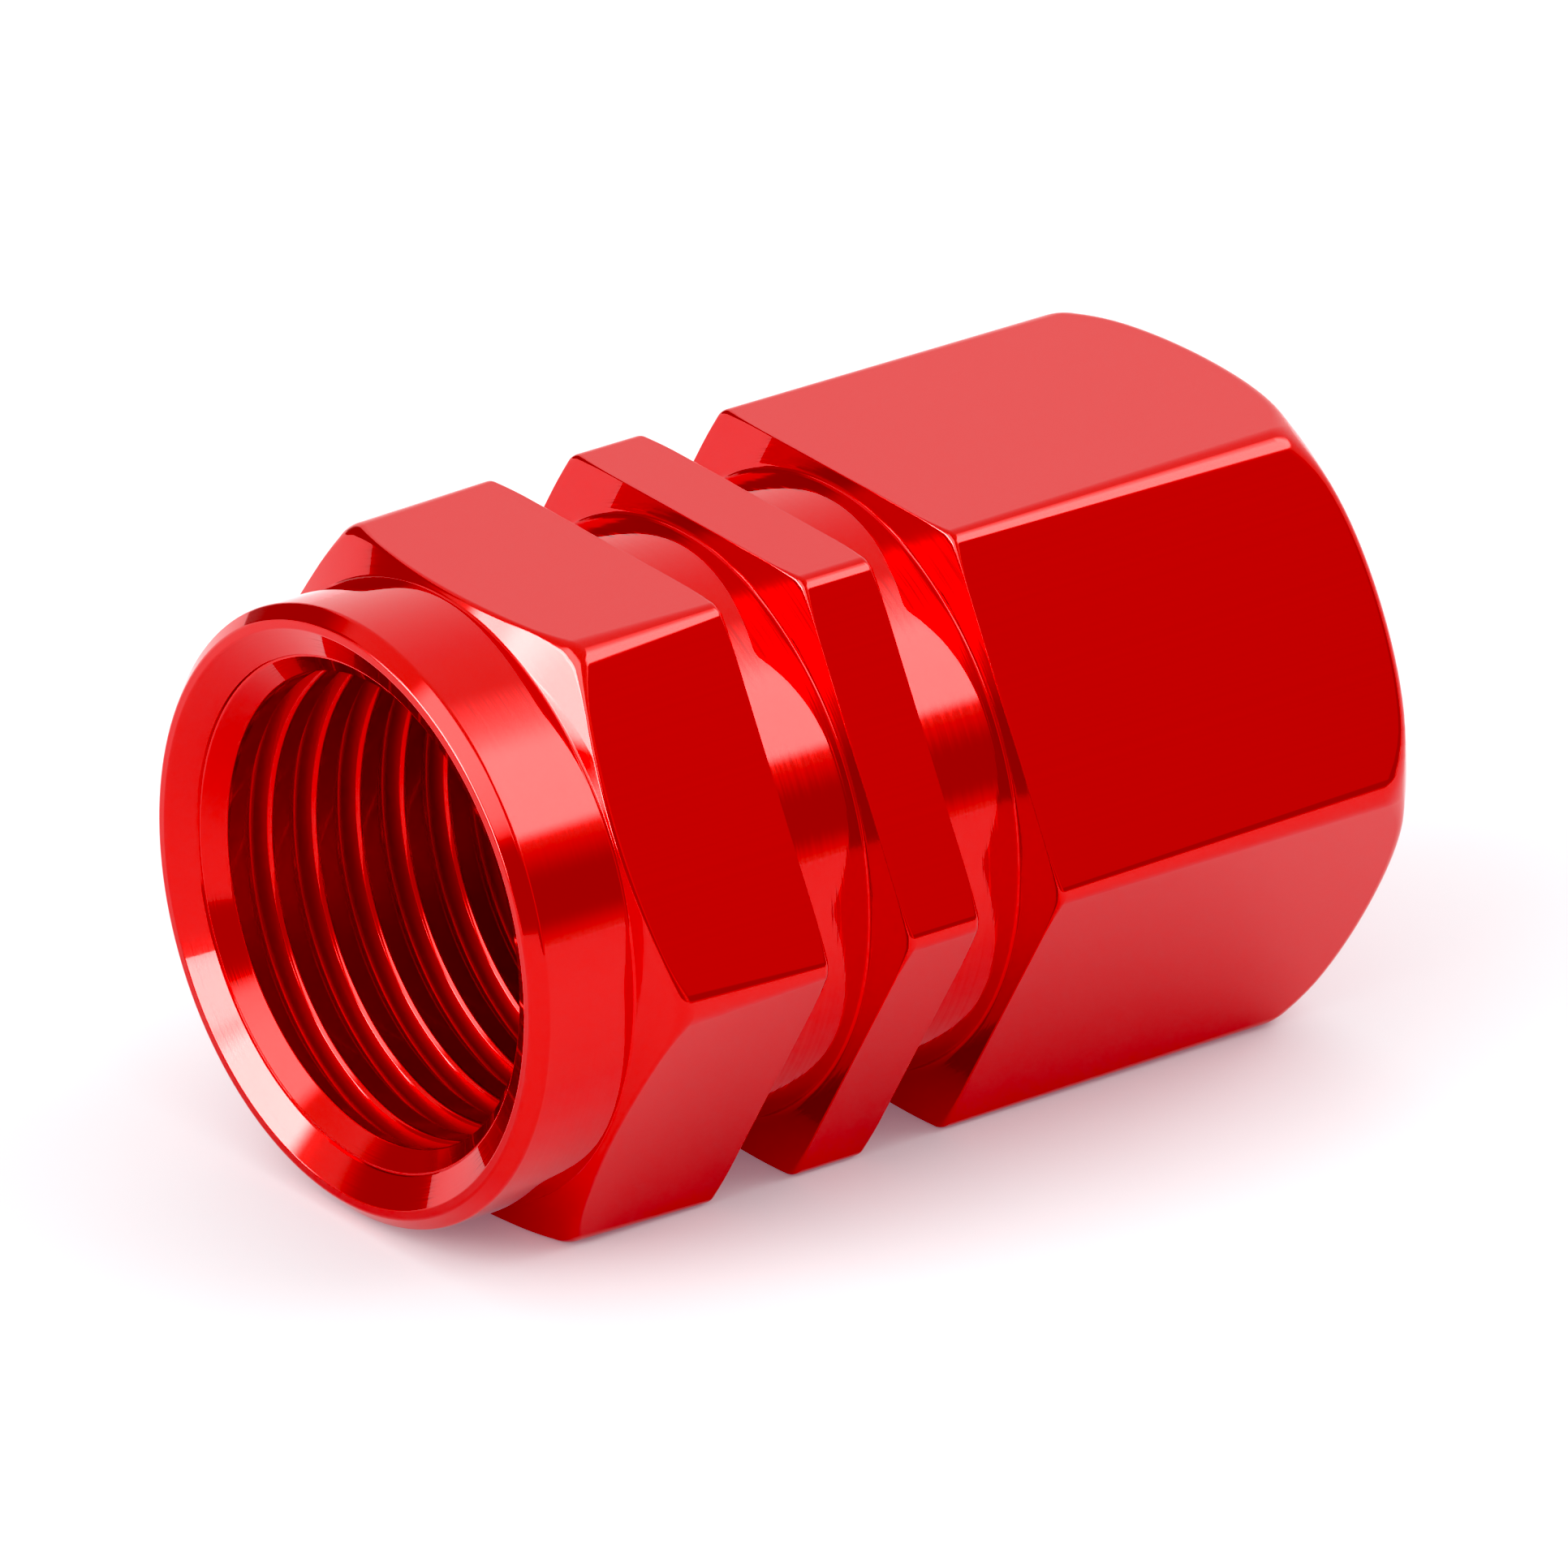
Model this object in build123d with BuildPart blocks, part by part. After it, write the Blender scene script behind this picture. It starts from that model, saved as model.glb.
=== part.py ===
from build123d import *
from math import cos, radians, tan
import os

# Tyre valve cap, turned in one piece from hexagonal aluminium bar, with a rubber washer in its threaded hole.
# Frame: +Z up. The cap lies on one of its flats, and the origin is on that surface, under the cap's middle.
# The cap's axis runs along Y, with the open mouth at -Y and the closed head at +Y. All sizes are in millimetres.

# Hexagonal bar
across_flats = 9.5
corner_round = 0.28

# Lengths along the axis, from the mouth to the head
collar_length = 1.73
front_land_length = 2.925
groove_width = 1.44
ring_length = 1.275
head_length = 7.12

# Depths of the turned surfaces below the flats
collar_step = 0.1
groove_depth = 0.26

# Turned edges
lip_round = 0.25
shoulder_angle = 24.0
head_round = 1.9
head_face_diameter = 7.6

# Threaded hole: the wall is at the thread's crests, and its mouth opens in two slopes
thread_minor_diameter = 7.1
thread_length = 8.4
inner_slope_width = 0.3
inner_slope_angle = 90.0
outer_slope_width = 0.47
outer_slope_angle = 120.0
relief_depth = 0.45
thread_runout = 0.8

# Sealing washer
washer_thickness = 1.2
washer_hole_diameter = 3.5
washer_clearance = 0.05

# Radii
flat_radius = across_flats / 2
corner_radius = flat_radius / cos(radians(30))
collar_radius = flat_radius - collar_step
neck_radius = flat_radius - groove_depth
head_face_radius = head_face_diameter / 2
thread_radius = thread_minor_diameter / 2
slope_radius = thread_radius + inner_slope_width
mouth_radius = slope_radius + outer_slope_width
relief_radius = thread_radius + relief_depth
washer_radius = relief_radius - washer_clearance

# Places along the axis, measured from the mouth
front_groove_start = collar_length + front_land_length
ring_start = front_groove_start + groove_width
rear_groove_start = ring_start + ring_length
head_start = rear_groove_start + groove_width
overall_length = head_start + head_length
groove_starts = (front_groove_start, rear_groove_start)
slope_start = (mouth_radius - slope_radius) / tan(radians(outer_slope_angle / 2))
thread_start = slope_start + inner_slope_width / tan(radians(inner_slope_angle / 2))
thread_end = thread_start + thread_length
hole_depth = thread_end + thread_runout + washer_thickness

# A turned profile is drawn as distance from the mouth along the axis, and radius
mouth_y = -overall_length / 2
cap_axis = Axis((0, mouth_y, flat_radius), (0, 1, 0))
profile_plane = Plane(origin=(0, mouth_y, flat_radius), x_dir=(0, 1, 0), z_dir=(1, 0, 0))
bar_plane = Plane(origin=(0, mouth_y, flat_radius), x_dir=(1, 0, 0), z_dir=(0, 1, 0))

# The turning cuts run out past the bar's corners
cut_overrun = 1.0
cut_radius = max(corner_radius, head_face_radius + head_round) + cut_overrun
shoulder_run = (cut_radius - collar_radius) * tan(radians(shoulder_angle))

# Cap body
os.makedirs("parts", exist_ok=True)

with BuildPart() as cap_body:
    # Hexagonal bar with its long edges slightly rounded
    with BuildSketch(bar_plane) as bar_section:
        RegularPolygon(radius=flat_radius, side_count=6, major_radius=False)
        fillet(bar_section.vertices(), corner_round)
    extrude(amount=overall_length)

    # Round collar with its lip, the sloping shoulder behind it, and the rounded head
    with BuildSketch(profile_plane):
        with BuildLine():
            lip = RadiusArc((0, collar_radius - lip_round), (lip_round, collar_radius), lip_round)
            dome_start = (overall_length - head_round, head_face_radius + head_round)
            dome = RadiusArc(dome_start, (overall_length, head_face_radius), head_round)
            Polyline(
                lip @ 1,
                (collar_length, collar_radius),
                (collar_length + shoulder_run, cut_radius),
                (dome_start[0], cut_radius),
                dome @ 0,
            )
            Polyline(dome @ 1, (overall_length, 0), (0, 0), lip @ 0)
        make_face()
    revolve(axis=cap_axis, mode=Mode.INTERSECT)

    # Two grooves part the flats into the front land, the ring and the head
    for start in groove_starts:
        with BuildSketch(profile_plane):
            with Locations((start, neck_radius)):
                Rectangle(groove_width, cut_radius - neck_radius, align=(Align.MIN, Align.MIN))
        revolve(axis=cap_axis, mode=Mode.SUBTRACT)

    # Blind hole: the two slopes of its mouth, thread wall, and the relief that holds the washer
    with BuildSketch(profile_plane):
        with BuildLine():
            Polyline(
                (0, 0),
                (0, mouth_radius),
                (slope_start, slope_radius),
                (thread_start, thread_radius),
                (thread_end, thread_radius),
                (thread_end, relief_radius),
                (hole_depth, relief_radius),
                (hole_depth, 0),
                close=True,
            )
        make_face()
    revolve(axis=cap_axis, mode=Mode.SUBTRACT)

cap_body.part.label = "cap_body"
export_step(cap_body.part, "parts/cap_body.step")

# Sealing washer, flat on the bottom of the hole
with BuildPart() as sealing_washer:
    with BuildSketch(bar_plane.offset(hole_depth - washer_thickness)):
        Circle(washer_radius)
        Circle(washer_hole_diameter / 2, mode=Mode.SUBTRACT)
    extrude(amount=washer_thickness)

sealing_washer.part.label = "sealing_washer"
export_step(sealing_washer.part, "parts/sealing_washer.step")
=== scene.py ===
from collections import namedtuple
from math import acos, asin, atan2, ceil, cos, degrees, hypot, pi, radians, sin, tan

import bpy
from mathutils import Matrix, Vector


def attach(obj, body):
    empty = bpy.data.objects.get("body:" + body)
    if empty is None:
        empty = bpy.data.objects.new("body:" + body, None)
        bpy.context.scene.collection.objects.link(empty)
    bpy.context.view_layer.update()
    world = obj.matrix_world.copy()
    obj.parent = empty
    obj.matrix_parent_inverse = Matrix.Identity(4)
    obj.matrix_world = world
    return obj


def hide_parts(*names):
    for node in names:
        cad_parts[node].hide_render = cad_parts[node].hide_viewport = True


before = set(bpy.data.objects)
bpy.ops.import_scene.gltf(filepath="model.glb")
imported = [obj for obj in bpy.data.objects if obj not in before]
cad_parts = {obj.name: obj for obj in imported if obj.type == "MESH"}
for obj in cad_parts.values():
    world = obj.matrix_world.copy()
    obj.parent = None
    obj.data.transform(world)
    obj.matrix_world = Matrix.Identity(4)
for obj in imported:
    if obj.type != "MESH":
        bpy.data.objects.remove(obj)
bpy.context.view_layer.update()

MM = 0.001

# Sizes of the cap in millimetres, as in the construction
across_flats = 9.5
collar_length = 1.73
front_land_length = 2.925
groove_width = 1.44
ring_length = 1.275
head_length = 7.12
collar_step = 0.1
groove_depth = 0.26
shoulder_angle = 24.0
head_round = 1.9
head_face_diameter = 7.6
thread_minor_diameter = 7.1
thread_length = 8.4
inner_slope_width = 0.3
inner_slope_angle = 90.0
outer_slope_width = 0.47
outer_slope_angle = 120.0
relief_depth = 0.45
thread_runout = 0.8
washer_thickness = 1.2
washer_hole_diameter = 3.5
washer_clearance = 0.05

# Thread: its flat crest and root and the softness of its edges are parts of the pitch.
# A crest's edge lies at the first edge at the top of the hole, and the thread grows over the length of its fade.
thread_pitch = 0.794
thread_depth = 0.295
thread_crest = 0.45
thread_root = 0.12
thread_edge = 0.045
thread_first_edge = 0.77
thread_fade = 0.35

# Rounded corners of the bar, which are larger at the shoulder and at the dome
corner_round = 0.28
corner_round_at_mouth = 0.5
corner_round_at_dome = 0.45

# Small edges, with the spread of a rounder corner in degrees round the axis
rim_edge = 0.02
rim_tip = 0.1
groove_root = 0.06
shoulder_edge = 0.05
shoulder_tip = 0.14
tip_spread = 9.0
collar_root = 0.05
mouth_edge = 0.06
lip_slope = 0.2
lip_edge = 0.08
slope_edge = 0.05
score_width = 0.03
score_depth = 0.02
hole_root = 0.1
dome_edge = 0.12
dome_tip = 0.18
washer_edge = 0.12

# Hexagon and fineness of the mesh
SIDES = 6
SIDE_ANGLE = 60
FLAT_STEPS = 24
CORNER_STEPS = 5
EDGE_STEPS = 5
ROOT_STEPS = 10
DOME_STEPS = 14
MERGE_DECIMALS = 5

# Derived sizes
flat_radius = across_flats / 2
collar_radius = flat_radius - collar_step
neck_radius = flat_radius - groove_depth
head_face_radius = head_face_diameter / 2
thread_radius = thread_minor_diameter / 2
slope_radius = thread_radius + inner_slope_width
mouth_radius = slope_radius + outer_slope_width
relief_radius = thread_radius + relief_depth
washer_radius = relief_radius - washer_clearance
front_groove_start = collar_length + front_land_length
ring_start = front_groove_start + groove_width
rear_groove_start = ring_start + ring_length
head_start = rear_groove_start + groove_width
overall_length = head_start + head_length
slope_start = outer_slope_width / tan(radians(outer_slope_angle / 2))
thread_start = slope_start + inner_slope_width / tan(radians(inner_slope_angle / 2))
thread_end = thread_start + thread_length
hole_depth = thread_end + thread_runout + washer_thickness
washer_start = hole_depth - washer_thickness
mouth_y = -overall_length / 2

# A normal leans from straight out from the axis (0) to the head (90) or to the mouth (-90).
# A lean of 180 faces the axis.
INNER_LEAN = inner_slope_angle / 2 - 180
LIP_LEAN = -45
OUTER_LEAN = outer_slope_angle / 2 - 180
thread_low = thread_start + slope_edge * tan(radians(180 + INNER_LEAN) / 2)

# A mesh is a stack of rows across the axis, from pole to pole, and each row has one point for each column.
# Points and normals are (along the axis from the mouth, x, z from the axis).
# A row has two normals for each column, for the band before it and the band after it.
# It also has the finish of the band after it.
Row = namedtuple("Row", "points before after finish")
FLATS = 0
TURNED = 1
GROOVED = 2
FACED = 3
THREAD = 4


def heading(angle):
    """Unit vector across the axis, from +X towards +Z."""
    return Vector((cos(angle), sin(angle)))


def facing_angles():
    """Direction that each column of the hexagon faces, from +X towards +Z."""
    half = SIDE_ANGLE / 2
    away = [half * step / CORNER_STEPS for step in range(CORNER_STEPS)]
    angles = []
    for corner in range(SIDES):
        middle = SIDE_ANGLE * corner
        angles += [middle + turn for turn in away]
        angles += [middle + half] * (FLAT_STEPS + 1)
        angles += [middle + SIDE_ANGLE - turn for turn in reversed(away[1:])]
    angles.append(360)
    return [radians(angle) for angle in angles]


FACINGS = facing_angles()
COLUMNS = range(len(FACINGS))
Outline = namedtuple("Outline", "points radii turns")


def outline(corner_size):
    """Outline of the bar by column, with corners rounded to a size: points, radii and turns round the axis."""
    centre_place = (flat_radius - corner_size) / cos(radians(SIDE_ANGLE / 2))
    points = []
    for number, facing in enumerate(FACINGS):
        step = number % (2 * CORNER_STEPS + FLAT_STEPS) - CORNER_STEPS
        if 0 <= step <= FLAT_STEPS:
            slide = centre_place * (step / FLAT_STEPS - 1 / 2)
            points.append(flat_radius * heading(facing) + slide * heading(facing + pi / 2))
        else:
            corner = radians(SIDE_ANGLE * round(degrees(facing) / SIDE_ANGLE))
            points.append(centre_place * heading(corner) + corner_size * heading(facing))
    turns = [atan2(z, x) % (2 * pi) for x, z in points]
    turns[0] = 0.0
    turns[-1] = 2 * pi
    return Outline(points, [hypot(x, z) for x, z in points], turns)


bar_outline = outline(corner_round)
mouth_outline = outline(corner_round_at_mouth)
dome_outline = outline(corner_round_at_dome)
TURNS = bar_outline.turns


def lean_normal(lean, turn):
    """Normal with a lean, at an angle round the axis."""
    tilt = radians(lean)
    return (sin(tilt), cos(tilt) * cos(turn), cos(tilt) * sin(turn))


def turned_row(places, turns, finish=TURNED):
    """Row of a turned surface, from each column's (along, radius, lean)."""
    points = []
    normals = []
    for (along, radius, lean), turn in zip(places, turns):
        points.append((along, radius * cos(turn), radius * sin(turn)))
        normals.append(lean_normal(lean, turn))
    return Row(points, normals, normals, finish)


def ring(along, radius, lean, finish=TURNED, lean_after=None):
    """A circle round the axis."""
    row = turned_row([(along, radius, lean)] * len(TURNS), TURNS, finish)
    if lean_after is not None:
        row = row._replace(after=[lean_normal(lean_after, turn) for turn in TURNS])
    return row


def hollow_edge(along, radius, size, first_lean, last_lean, finish=TURNED):
    """Rounded inside edge of a turned profile: an arc about a centre in the open space."""
    return full_edge(along, radius, -size, first_lean, last_lean, finish)


def full_edge(along, radius, size, first_lean, last_lean, finish=TURNED):
    """Rounded outside edge of a turned profile: an arc about a centre in the material."""
    rows = []
    for step in range(EDGE_STEPS):
        lean = first_lean + (last_lean - first_lean) * step / (EDGE_STEPS - 1)
        tilt = radians(lean)
        rows.append(ring(along + size * sin(tilt), radius + size * cos(tilt), lean, finish))
    return rows


def scored_line(along, radius, first_lean, last_lean, finish):
    """Fine line scored along the edge between two slopes of a turned profile."""
    edge = Vector((along, radius))
    middle = radians(first_lean + last_lean) / 2
    before = edge - score_width * Vector((cos(radians(first_lean)), -sin(radians(first_lean))))
    bottom = edge - score_depth * Vector((sin(middle), cos(middle)))
    after = edge + score_width * Vector((cos(radians(last_lean)), -sin(radians(last_lean))))
    down = bottom - before
    up = after - bottom
    down_lean = degrees(atan2(-down[1], down[0]))
    up_lean = degrees(atan2(-up[1], up[0]))
    return [
        ring(*before, first_lean, finish, lean_after=down_lean),
        ring(*bottom, down_lean, finish, lean_after=up_lean),
        ring(*after, up_lean, finish, lean_after=last_lean),
    ]


def bent_row(starts, corners, ends, part, around, start_radial, end_radial, finish):
    """Row on a smooth bend from one surface to another.

    Starts, corners and ends are (along, radius) by column. The normal's direction across the axis goes from
    radial to facing, or back, along the bend.
    """
    points = []
    bent = []
    for column in COLUMNS:
        start = Vector(starts[column])
        corner = Vector(corners[column])
        end = Vector(ends[column])
        place = start * (1 - part) ** 2 + corner * 2 * part * (1 - part) + end * part ** 2
        tangent = ((corner - start) * (1 - part) + (end - corner) * part).normalized()
        radial = heading(around.turns[column])
        facing = heading(FACINGS[column])
        first = radial if start_radial else facing
        last = radial if end_radial else facing
        across = (first * (1 - part) + last * part).normalized()
        points.append((place[0], place[1] * radial[0], place[1] * radial[1]))
        bent.append((-tangent[1], tangent[0] * across[0], tangent[0] * across[1]))
    return Row(points, bent, bent, finish)


def corner_shares():
    """How near each column is to a corner of the hexagon: 1 on the corner, fading to 0 on the flats."""
    shares = []
    for turn in TURNS:
        off = abs((degrees(turn) + SIDE_ANGLE / 2) % SIDE_ANGLE - SIDE_ANGLE / 2)
        shares.append(max(0.0, 1 - off / tip_spread) ** 2)
    return shares


def shoulder():
    """Sloping shoulder from the collar out to the flats, with an edge that is rounder at the corners."""
    slope = radians(shoulder_angle)
    lean = shoulder_angle - 90
    root_reach = collar_root * tan(radians(90 - shoulder_angle) / 2)
    rows = hollow_edge(collar_length - root_reach, collar_radius + collar_root, collar_root, 0, lean)
    starts = []
    corners = []
    ends = []
    for radius, share in zip(mouth_outline.radii, corner_shares()):
        setback = shoulder_edge + shoulder_tip * share
        along = collar_length + (radius - collar_radius) * tan(slope)
        starts.append((along - setback * sin(slope), radius - setback * cos(slope)))
        corners.append((along, radius))
        ends.append((along + setback, radius))
    for step in range(EDGE_STEPS + 1):
        finish = TURNED if step < EDGE_STEPS // 2 else FLATS
        rows.append(bent_row(starts, corners, ends, step / EDGE_STEPS, mouth_outline, True, False, finish))
    return rows


def side_place(rim_radius, wall, depth):
    """Place on a groove's front side, at a distance down it from its rim: (along, radius, lean)."""
    straight = max(0.0, rim_radius - neck_radius - groove_root)
    if depth < straight:
        return (wall, rim_radius - depth, 90)
    swing = rim_swing(rim_radius) - (depth - straight) / groove_root
    along = wall + groove_root * (1 - sin(swing))
    radius = neck_radius + groove_root * (1 - cos(swing))
    return (along, radius, degrees(swing))


def rim_swing(rim_radius):
    """Angle up the round of a groove's root to a rim, or to the straight wall below the rim."""
    height = min(rim_radius - neck_radius, groove_root)
    return acos(1 - height / groove_root)


def side_length(rim_radius):
    """Distance down a groove's side from its rim to its floor."""
    straight = max(0.0, rim_radius - neck_radius - groove_root)
    return straight + groove_root * rim_swing(rim_radius)


def groove_side(wall):
    """Front side of a groove, from the flats over a rim that is rounder at the corners, down to the floor."""
    sizes = [rim_edge + rim_tip * share for share in corner_shares()]
    starts = []
    corners = []
    ends = []
    for radius, size in zip(bar_outline.radii, sizes):
        along = side_place(radius, wall, 0)[0]
        starts.append((along - size, radius))
        corners.append((along, radius))
        ends.append(side_place(radius, wall, size)[:2])
    rows = []
    for step in range(EDGE_STEPS):
        finish = FLATS if step < EDGE_STEPS // 2 else GROOVED
        rows.append(bent_row(starts, corners, ends, step / EDGE_STEPS, bar_outline, False, True, finish))
    for step in range(ROOT_STEPS + 1):
        places = []
        for radius, size in zip(bar_outline.radii, sizes):
            depth = size + (side_length(radius) - size) * step / ROOT_STEPS
            places.append(side_place(radius, wall, depth))
        rows.append(turned_row(places, TURNS, GROOVED))
    return rows


def mirrored(rows, middle):
    """The same rows on the other side of a plane across the axis, in the order from the mouth to the head."""
    flipped = []
    for row, earlier in zip(reversed(rows), [*reversed(rows[:-1]), None]):
        points = [(2 * middle - along, x, z) for along, x, z in row.points]
        normals = [(-along, x, z) for along, x, z in row.after]
        finish = earlier.finish if earlier else FLATS
        flipped.append(Row(points, normals, normals, finish))
    return flipped


def groove(start):
    """Groove between two lands: two sides with a plain floor between them."""
    front = groove_side(start)
    return front + mirrored(front, start + groove_width / 2)


def dome():
    """Rounded end of the head, from the flats over an edge that is rounder at the corners to the end face."""
    centre = overall_length - head_round
    starts = []
    corners = []
    ends = []
    spans = []
    for radius, share in zip(dome_outline.radii, corner_shares()):
        setback = dome_edge + dome_tip * share
        full = asin((radius - head_face_radius) / head_round)
        span = full - setback / head_round
        spans.append(span)
        along = centre + head_round * cos(full)
        starts.append((along - setback, radius))
        corners.append((along, radius))
        ends.append((centre + head_round * cos(span), head_face_radius + head_round * sin(span)))
    rows = []
    for step in range(EDGE_STEPS):
        finish = FLATS if step < EDGE_STEPS // 2 else TURNED
        rows.append(bent_row(starts, corners, ends, step / EDGE_STEPS, dome_outline, False, True, finish))
    for step in range(DOME_STEPS + 1):
        places = []
        for span in spans:
            swing = span * (1 - step / DOME_STEPS)
            radius = head_face_radius + head_round * sin(swing)
            places.append((centre + head_round * cos(swing), radius, 90 - degrees(swing)))
        rows.append(turned_row(places, dome_outline.turns))
    return rows


# A row of the thread's form: part of the pitch, share of the depth, slope of that share, and finish
FormRow = namedtuple("FormRow", "part depth slope finish")


def thread_form():
    """One turn of the thread's form, going towards the mouth. The crest's edge towards the mouth takes the body's
    lighter, glossier red as a painted highlight; the rest takes the thread's darker red as painted shade.
    """
    crest = thread_crest / 2
    root = (1 - thread_root) / 2
    steep = 1 / (root - crest)
    soft = steep * thread_edge / 4
    half = [
        # The crest's edge towards the mouth gets the body's red finish: a painted highlight
        FormRow(crest - thread_edge, 0.0, 0.0, TURNED),
        FormRow(crest, soft, steep / 2, TURNED),
        FormRow(crest + thread_edge, steep * thread_edge, steep, THREAD),
        FormRow(root - thread_edge, 1 - steep * thread_edge, steep, THREAD),
        FormRow(root, 1 - soft, steep / 2, THREAD),
        FormRow(root + thread_edge, 1.0, 0.0, THREAD),
    ]
    other = [FormRow(1 - row.part, row.depth, -row.slope, THREAD) for row in reversed(half)]
    return half + other


def form_depth(part):
    """Share of the thread's depth at any part of the pitch."""
    form = thread_form()
    before = form[-1]._replace(part=form[-1].part - 1)
    for row in [*form, form[0]._replace(part=form[0].part + 1)]:
        if part <= row.part:
            share = (part - before.part) / (row.part - before.part)
            return before.depth + (row.depth - before.depth) * share
        before = row
    return before.depth


def thread_share(along):
    """Share of the full thread at a place, which grows from nothing at the mouth's slopes, and its slope."""
    place = min(1.0, max(0.0, (along - thread_low) / thread_fade))
    return place * place * (3 - 2 * place), 6 * place * (1 - place) / thread_fade


def thread():
    """Right-handed thread from the relief to the mouth's slopes, as rows that wind round the axis."""
    turn_to_top = 1 / 4
    spare_turns = 2
    first_crest = thread_first_edge + thread_pitch * (turn_to_top + thread_crest / 2)
    high = first_crest + thread_pitch * ceil((thread_end - first_crest) / thread_pitch + spare_turns)
    rows = []
    for turn in range(ceil((high - thread_low) / thread_pitch) + 1):
        for form in thread_form():
            places = []
            for angle in TURNS:
                along = high - thread_pitch * (turn + form.part + angle / (2 * pi))
                if along >= thread_end:
                    part = (high - thread_end) / thread_pitch - angle / (2 * pi)
                    places.append((thread_end, thread_radius + thread_depth * form_depth(part % 1), 180))
                    continue
                along = max(along, thread_low)
                share, growth = thread_share(along)
                rise = thread_depth * (form.depth * growth - form.slope * share / thread_pitch)
                radius = thread_radius + thread_depth * form.depth * share
                places.append((along, radius, degrees(atan2(rise, -1))))
            rows.append(turned_row(places, TURNS, form.finish))
    wall = [lean_normal(90, angle) for angle in TURNS]
    rows[0] = rows[0]._replace(before=wall)
    return rows


def mouth():
    """Mouth of the hole, two slopes with a fine line between them, and the cap's lip with its small slope."""
    edge_reach = mouth_edge * tan(radians(OUTER_LEAN + 90) / -2)
    lip_reach = lip_edge * tan(radians(LIP_LEAN) / -2)
    rows = full_edge(thread_low, thread_radius + slope_edge, slope_edge, -180, INNER_LEAN, FACED)
    rows += scored_line(slope_start, slope_radius, INNER_LEAN, OUTER_LEAN, FACED)
    rows += full_edge(mouth_edge, mouth_radius + edge_reach, mouth_edge, OUTER_LEAN, -90)
    rows += full_edge(lip_edge, collar_radius - lip_slope - lip_reach, lip_edge, -90, LIP_LEAN)
    rows += full_edge(lip_slope + lip_reach, collar_radius - lip_edge, lip_edge, LIP_LEAN, 0)
    return rows


def cap_rows():
    """All rows of the cap, from the bottom of its hole round the mouth to the end of its head."""
    rows = hollow_edge(hole_depth - hole_root, relief_radius - hole_root, hole_root, -90, -180)
    rows.append(ring(thread_end, relief_radius, -180, lean_after=90))
    rows += thread()
    rows += mouth()
    rows += shoulder()
    rows += groove(front_groove_start)
    rows += groove(rear_groove_start)
    rows += dome()
    return rows


def washer_rows():
    """Rows of the sealing washer, once round its section and closed on the first row."""
    hole = washer_hole_diameter / 2
    near = washer_start + washer_edge
    far = hole_depth - washer_edge
    rows = full_edge(near, hole + washer_edge, washer_edge, -180, -90, FLATS)
    rows += full_edge(near, washer_radius - washer_edge, washer_edge, -90, 0, FLATS)
    rows += full_edge(far, washer_radius - washer_edge, washer_edge, 0, 90, FLATS)
    rows += full_edge(far, hole + washer_edge, washer_edge, 90, 180, FLATS)
    rows.append(rows[0])
    return rows


class MeshMaker:
    """Collects the faces of a mesh with its own normals; points at one place become one vertex."""

    def __init__(self):
        self.numbers = {}
        self.vertices = []
        self.faces = []
        self.normals = []
        self.finishes = []

    def vertex(self, point):
        """Number of the vertex at a point, which is made if it is new."""
        key = tuple(round(value, MERGE_DECIMALS) for value in point)
        if key not in self.numbers:
            self.numbers[key] = len(self.vertices)
            along, x, z = point
            self.vertices.append((x * MM, (mouth_y + along) * MM, (flat_radius + z) * MM))
        return self.numbers[key]

    def face(self, corners, finish):
        """Adds a face from its (point, normal) corners, unless they fall together."""
        kept = []
        for point, normal in corners:
            number = self.vertex(point)
            if number not in [other for other, _ in kept]:
                kept.append((number, normal))
        if len(kept) < 3:
            return
        self.faces.append([number for number, _ in kept])
        for _, (along, x, z) in kept:
            self.normals.append((x, along, z))
        self.finishes.append(finish)

    def bands(self, rows):
        """Adds the faces between each row and the following one."""
        for row, following in zip(rows, rows[1:]):
            for column in COLUMNS[:-1]:
                following_column = column + 1
                self.face(
                    [
                        (row.points[column], row.after[column]),
                        (following.points[column], following.before[column]),
                        (following.points[following_column], following.before[following_column]),
                        (row.points[following_column], row.after[following_column]),
                    ],
                    row.finish,
                )

    def pole(self, row, along, lean, first):
        """Closes the mesh with a fan of triangles to a point on the axis."""
        normal = lean_normal(lean, 0)
        for column in COLUMNS[:-1]:
            sides = [(row.points[column], normal), (row.points[column + 1], normal)]
            if not first:
                sides.reverse()
            self.face([*sides, ((along, 0, 0), normal)], TURNED)

    def make(self, name, materials):
        """The finished piece, linked into the scene."""
        mesh = bpy.data.meshes.new(name)
        mesh.from_pydata(self.vertices, [], self.faces)
        for material in materials:
            mesh.materials.append(material)
        mesh.polygons.foreach_set("use_smooth", [True] * len(self.faces))
        mesh.polygons.foreach_set("material_index", self.finishes)
        mesh.normals_split_custom_set(self.normals)
        piece = bpy.data.objects.new(name, mesh)
        bpy.context.collection.objects.link(piece)
        return piece


# Materials
RED = (0.647, 0.01, 0.008, 1.0)
# Darker red of the thread's flanks, roots and most of its crests: painted shade
SHADED_THREAD_RED = (0.58, 0.003, 0.002, 1.0)
RED_AT_EDGE = (0.95, 0.0, 0.0, 1.0)
RUBBER = (0.012, 0.012, 0.013, 1.0)
COAT_IOR = 1.6
COAT_ROUGHNESS = 0.03
MARK_DETAIL = 2.0
RUBBER_ROUGHNESS = 0.65
GRAINS_PER_MM = 9.0
GRAIN_DETAIL = 3.0
GRAIN_STRENGTH = 0.6
GRAIN_HEIGHT = 0.01
FLOOR_WHITE = (0.7, 0.7, 0.7, 1.0)
FLOOR_GLOW = (0.14, 0.14, 0.165, 1.0)


def shader_of(name):
    """A new material and its shader node."""
    material = bpy.data.materials.new(name)
    material.use_nodes = True
    return material, material.node_tree.nodes["Principled BSDF"]


def connect(tree, source, target):
    """Links the output of one node to the input of another."""
    tree.links.new(source, target)


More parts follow.
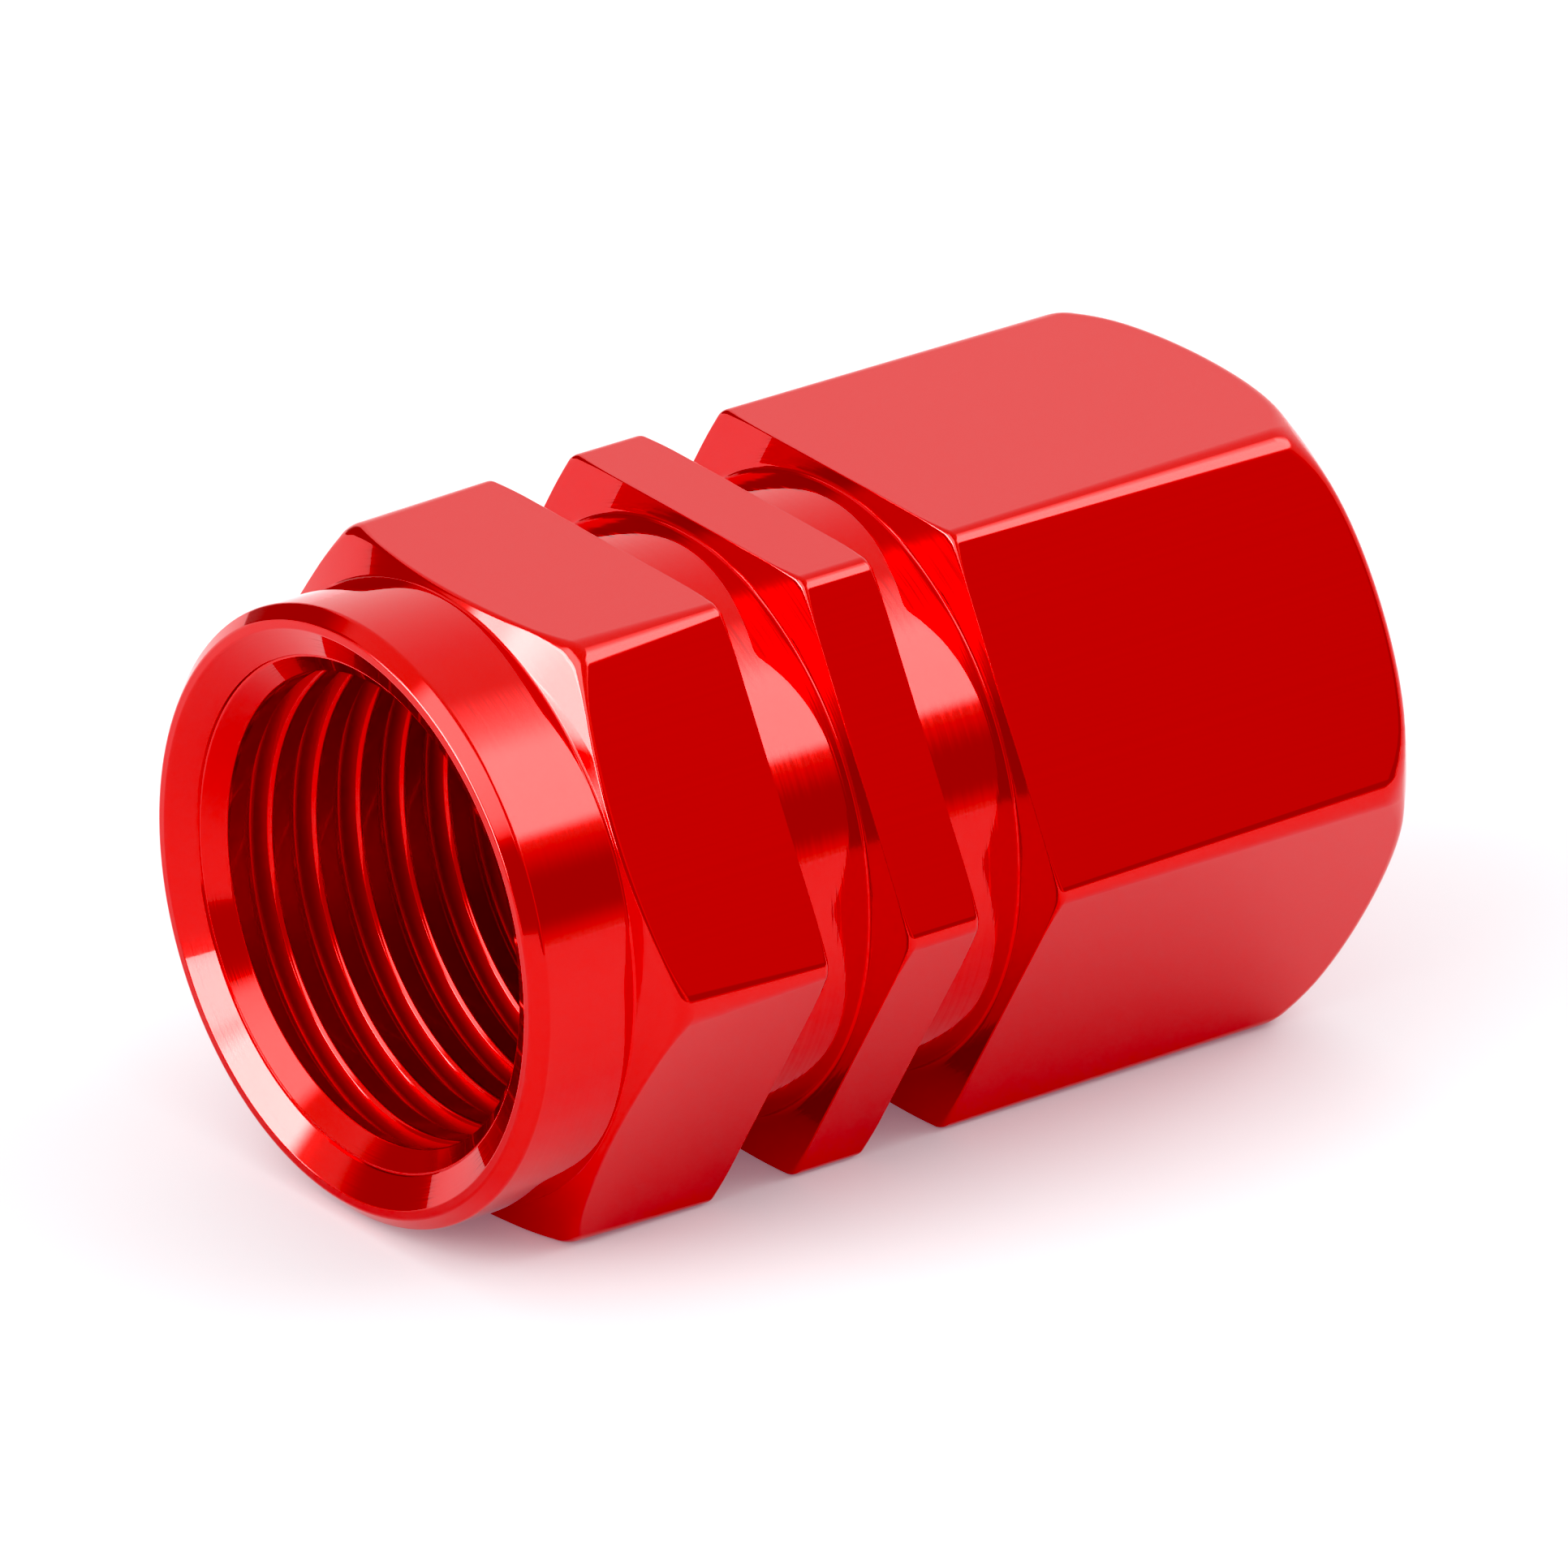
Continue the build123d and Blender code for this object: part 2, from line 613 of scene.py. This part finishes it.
def math_node(tree, operation, *values):
    """A maths node; each value is a number or the output of another node."""
    node = tree.nodes.new("ShaderNodeMath")
    node.operation = operation
    for socket, value in zip(node.inputs, values):
        if isinstance(value, (int, float)):
            socket.default_value = value
        else:
            connect(tree, value, socket)
    return node.outputs[0]


def axis_places(tree):
    """Place in millimetres: along the axis, and x and z from the axis."""
    coordinates = tree.nodes.new("ShaderNodeTexCoord")
    parts = tree.nodes.new("ShaderNodeSeparateXYZ")
    connect(tree, coordinates.outputs["Object"], parts.inputs[0])
    along = math_node(tree, "DIVIDE", parts.outputs["Y"], MM)
    x = math_node(tree, "DIVIDE", parts.outputs["X"], MM)
    z = math_node(tree, "SUBTRACT", math_node(tree, "DIVIDE", parts.outputs["Z"], MM), flat_radius)
    return along, x, z


def turning_place(tree):
    """Place along a turned profile: distance along the axis less the radius, in millimetres."""
    along, x, z = axis_places(tree)
    wide = math_node(tree, "MULTIPLY", x, x)
    tall = math_node(tree, "MULTIPLY", z, z)
    radius = math_node(tree, "SQRT", math_node(tree, "ADD", wide, tall))
    return math_node(tree, "SUBTRACT", along, radius)


def drawing_place(tree):
    """Place round the bar, in millimetres."""
    along, x, z = axis_places(tree)
    return math_node(tree, "MULTIPLY", math_node(tree, "ARCTAN2", z, x), flat_radius)


def add_bumps(tree, shader, noise, strength, height):
    """Bumps of a height in millimetres, from a noise."""
    bump = tree.nodes.new("ShaderNodeBump")
    bump.inputs["Strength"].default_value = strength
    bump.inputs["Distance"].default_value = height * MM
    connect(tree, noise.outputs["Fac"], bump.inputs["Height"])
    connect(tree, bump.outputs["Normal"], shader.inputs["Normal"])


def add_marks(tree, shader, place, marks_per_mm, height):
    """Fine tool marks, as bumps by place."""
    noise = tree.nodes.new("ShaderNodeTexNoise")
    noise.noise_dimensions = "1D"
    noise.inputs["Scale"].default_value = marks_per_mm
    noise.inputs["Detail"].default_value = MARK_DETAIL
    connect(tree, place, noise.inputs["W"])
    add_bumps(tree, shader, noise, 1.0, height)


def anodised(name, colour, roughness, coat, marks_place, marks_per_mm, mark_height):
    """Red anodised aluminium: metal under a clear hard layer, with the marks that its making left."""
    material, shader = shader_of(name)
    tree = material.node_tree
    shader.inputs["Base Color"].default_value = colour
    shader.inputs["Metallic"].default_value = 1.0
    shader.inputs["Roughness"].default_value = roughness
    shader.inputs["Specular Tint"].default_value = RED_AT_EDGE
    shader.inputs["Coat Weight"].default_value = coat
    shader.inputs["Coat IOR"].default_value = COAT_IOR
    shader.inputs["Coat Roughness"].default_value = COAT_ROUGHNESS
    add_marks(tree, shader, marks_place(tree), marks_per_mm, mark_height)
    return material


def rubber():
    """Matt black moulded rubber."""
    material, shader = shader_of("black_rubber")
    tree = material.node_tree
    shader.inputs["Base Color"].default_value = RUBBER
    shader.inputs["Roughness"].default_value = RUBBER_ROUGHNESS
    coordinates = tree.nodes.new("ShaderNodeTexCoord")
    noise = tree.nodes.new("ShaderNodeTexNoise")
    noise.inputs["Scale"].default_value = GRAINS_PER_MM / MM
    noise.inputs["Detail"].default_value = GRAIN_DETAIL
    connect(tree, coordinates.outputs["Object"], noise.inputs["Vector"])
    add_bumps(tree, shader, noise, GRAIN_STRENGTH, GRAIN_HEIGHT)
    return material


# Cap body, with its finishes in the order of their numbers. Each has a name, a colour, its roughness, the weight of
# its clear layer, and its tool marks: what they follow, how many there are to a millimetre, and their height.
finishes = [
    anodised("red_anodised_flats", RED, 0.07, 1.0, drawing_place, 9.0, 0.0002),
    anodised("red_anodised_turned", RED, 0.1, 1.0, turning_place, 12.0, 0.0012),
    anodised("red_anodised_grooved", RED, 0.1, 1.0, turning_place, 8.0, 0.004),
    anodised("red_anodised_faced", RED, 0.12, 1.0, turning_place, 14.0, 0.0014),
    # The thread's darker red is painted shade in the hole; only the crests' edges towards the mouth keep the body's
    # red, as a painted highlight
    anodised("red_anodised_thread_painted_shade", SHADED_THREAD_RED, 0.4, 0.6, turning_place, 12.0, 0.001),
]
cap_mesh = MeshMaker()
all_rows = cap_rows()
cap_mesh.pole(all_rows[0], hole_depth, -90, True)
cap_mesh.bands(all_rows)
cap_mesh.pole(all_rows[-1], overall_length, 90, False)
cap = cap_mesh.make("valve_cap", finishes)
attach(cap, "root")
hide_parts("cap_body")

# Sealing washer
washer_mesh = MeshMaker()
washer_mesh.bands(washer_rows())
washer = washer_mesh.make("washer", [rubber()])
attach(washer, "root")
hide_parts("sealing_washer")

# Camera, aimed at the middle of the cap
camera_azimuth = 52.3
camera_elevation = 24.84
camera_roll = 0.83
camera_distance = 0.51
frame_width = 0.0227
cap_middle = Vector((0.0, 0.0, flat_radius * MM))


def direction(azimuth, elevation):
    """Direction from the cap; azimuth 0 is -Y and 90 is +X, and elevation is above the floor."""
    turn = radians(azimuth)
    rise = radians(elevation)
    return Vector((sin(turn) * cos(rise), -cos(turn) * cos(rise), sin(rise)))


camera_data = bpy.data.cameras.new("camera")
camera_data.sensor_width = 36.0
camera_data.lens = camera_data.sensor_width * camera_distance / frame_width
camera_data.clip_start = 0.01
camera = bpy.data.objects.new("camera", camera_data)
bpy.context.collection.objects.link(camera)
toward_camera = direction(camera_azimuth, camera_elevation)
camera.location = cap_middle + toward_camera * camera_distance
camera.rotation_euler = toward_camera.to_track_quat("Z", "Y").to_euler()
camera.rotation_euler.rotate_axis("Z", radians(camera_roll))
bpy.context.scene.camera = camera


# Surroundings: a studio's soft light by direction, with brightness against white paper at 1.
# Azimuth 0 is -Y and 90 is +X, and elevation is above the floor, both in degrees.
STUDIO_LIGHT = 1.15
Patch = namedtuple("Patch", "azimuth half_width low high side_fade low_fade high_fade brightness")
patches = {
    "right softbox": Patch(150, 22, 34, 51, 20, 4, 8, 3.1),
    "left softbox": Patch(-18, 20, -5, 9, 4, 1, 5, 8.2),
    "left softbox, top": Patch(-20, 10, 12, 20, 5, 4, 4, 10.0),
    "high on the left": Patch(8, 25, 28, 50, 10, 8, 12, 2.3),
    "dark to the right": Patch(126, 16, 8, 19, 10, 8, 11, -0.6),
    "dark to the left": Patch(-75, 22, -5, 25, 8, 1, 10, -0.65),
    "dim in front": Patch(46, 29, -5, 25, 15, 1, 15, -0.55),
}
world = bpy.data.worlds.new("surroundings")
bpy.context.scene.world = world
world.use_nodes = True
sky = world.node_tree
sky_coordinates = sky.nodes.new("ShaderNodeTexCoord")
sky_parts = sky.nodes.new("ShaderNodeSeparateXYZ")
connect(sky, sky_coordinates.outputs["Generated"], sky_parts.inputs[0])
toward_mouth = math_node(sky, "MULTIPLY", sky_parts.outputs["Y"], -1.0)
sky_azimuth = math_node(sky, "DEGREES", math_node(sky, "ARCTAN2", sky_parts.outputs["X"], toward_mouth))
sky_elevation = math_node(sky, "DEGREES", math_node(sky, "ARCSINE", sky_parts.outputs["Z"]))


def fade(value, none, full):
    """Share that rises smoothly from 0 at one value to 1 at another."""
    node = sky.nodes.new("ShaderNodeMapRange")
    node.interpolation_type = "SMOOTHSTEP"
    node.inputs["From Min"].default_value = none
    node.inputs["From Max"].default_value = full
    connect(sky, value, node.inputs["Value"])
    return node.outputs["Result"]


def patch_light(patch):
    """Light of one patch of the surroundings, which fades at its sides, its foot and its top."""
    turned = math_node(sky, "SUBTRACT", sky_azimuth, patch.azimuth)
    off = math_node(sky, "ABSOLUTE", math_node(sky, "WRAP", turned, 180.0, -180.0))
    side = fade(off, patch.half_width + patch.side_fade, patch.half_width)
    foot = fade(sky_elevation, patch.low - patch.low_fade, patch.low)
    top = fade(sky_elevation, patch.high + patch.high_fade, patch.high)
    share = math_node(sky, "MULTIPLY", side, math_node(sky, "MULTIPLY", foot, top))
    return math_node(sky, "MULTIPLY", share, patch.brightness)


studio = STUDIO_LIGHT
for patch in patches.values():
    studio = math_node(sky, "ADD", patch_light(patch), studio)
connect(sky, studio, sky.nodes["Background"].inputs["Strength"])
sky.nodes["Background"].inputs["Color"].default_value = (1.0, 1.0, 1.0, 1.0)

# Floor, a pale table lit from below, just under the flats that the cap lies on
floor_half = 2.0
floor_drop = 0.00001
floor_mesh = bpy.data.meshes.new("floor")
floor_corners = [
    (-floor_half, -floor_half, -floor_drop),
    (floor_half, -floor_half, -floor_drop),
    (floor_half, floor_half, -floor_drop),
    (-floor_half, floor_half, -floor_drop),
]
floor_mesh.from_pydata(floor_corners, [], [(0, 1, 2, 3)])
floor_material, floor_shader = shader_of("floor")
floor_shader.inputs["Base Color"].default_value = FLOOR_WHITE
floor_shader.inputs["Roughness"].default_value = 1.0
floor_shader.inputs["Specular IOR Level"].default_value = 0.0
floor_shader.inputs["Emission Color"].default_value = FLOOR_GLOW
floor_shader.inputs["Emission Strength"].default_value = 1.0
floor_mesh.materials.append(floor_material)
floor = bpy.data.objects.new("floor", floor_mesh)
bpy.context.collection.objects.link(floor)

# Contrast as the photograph shows it: the reds lose the last of their green and blue
BLACK_LEVEL = (0.0, 0.07, 0.07)
view_settings = bpy.context.scene.view_settings
view_settings.view_transform = "Standard"
view_settings.use_curve_mapping = True
view_settings.curve_mapping.black_level = BLACK_LEVEL
view_settings.curve_mapping.update()
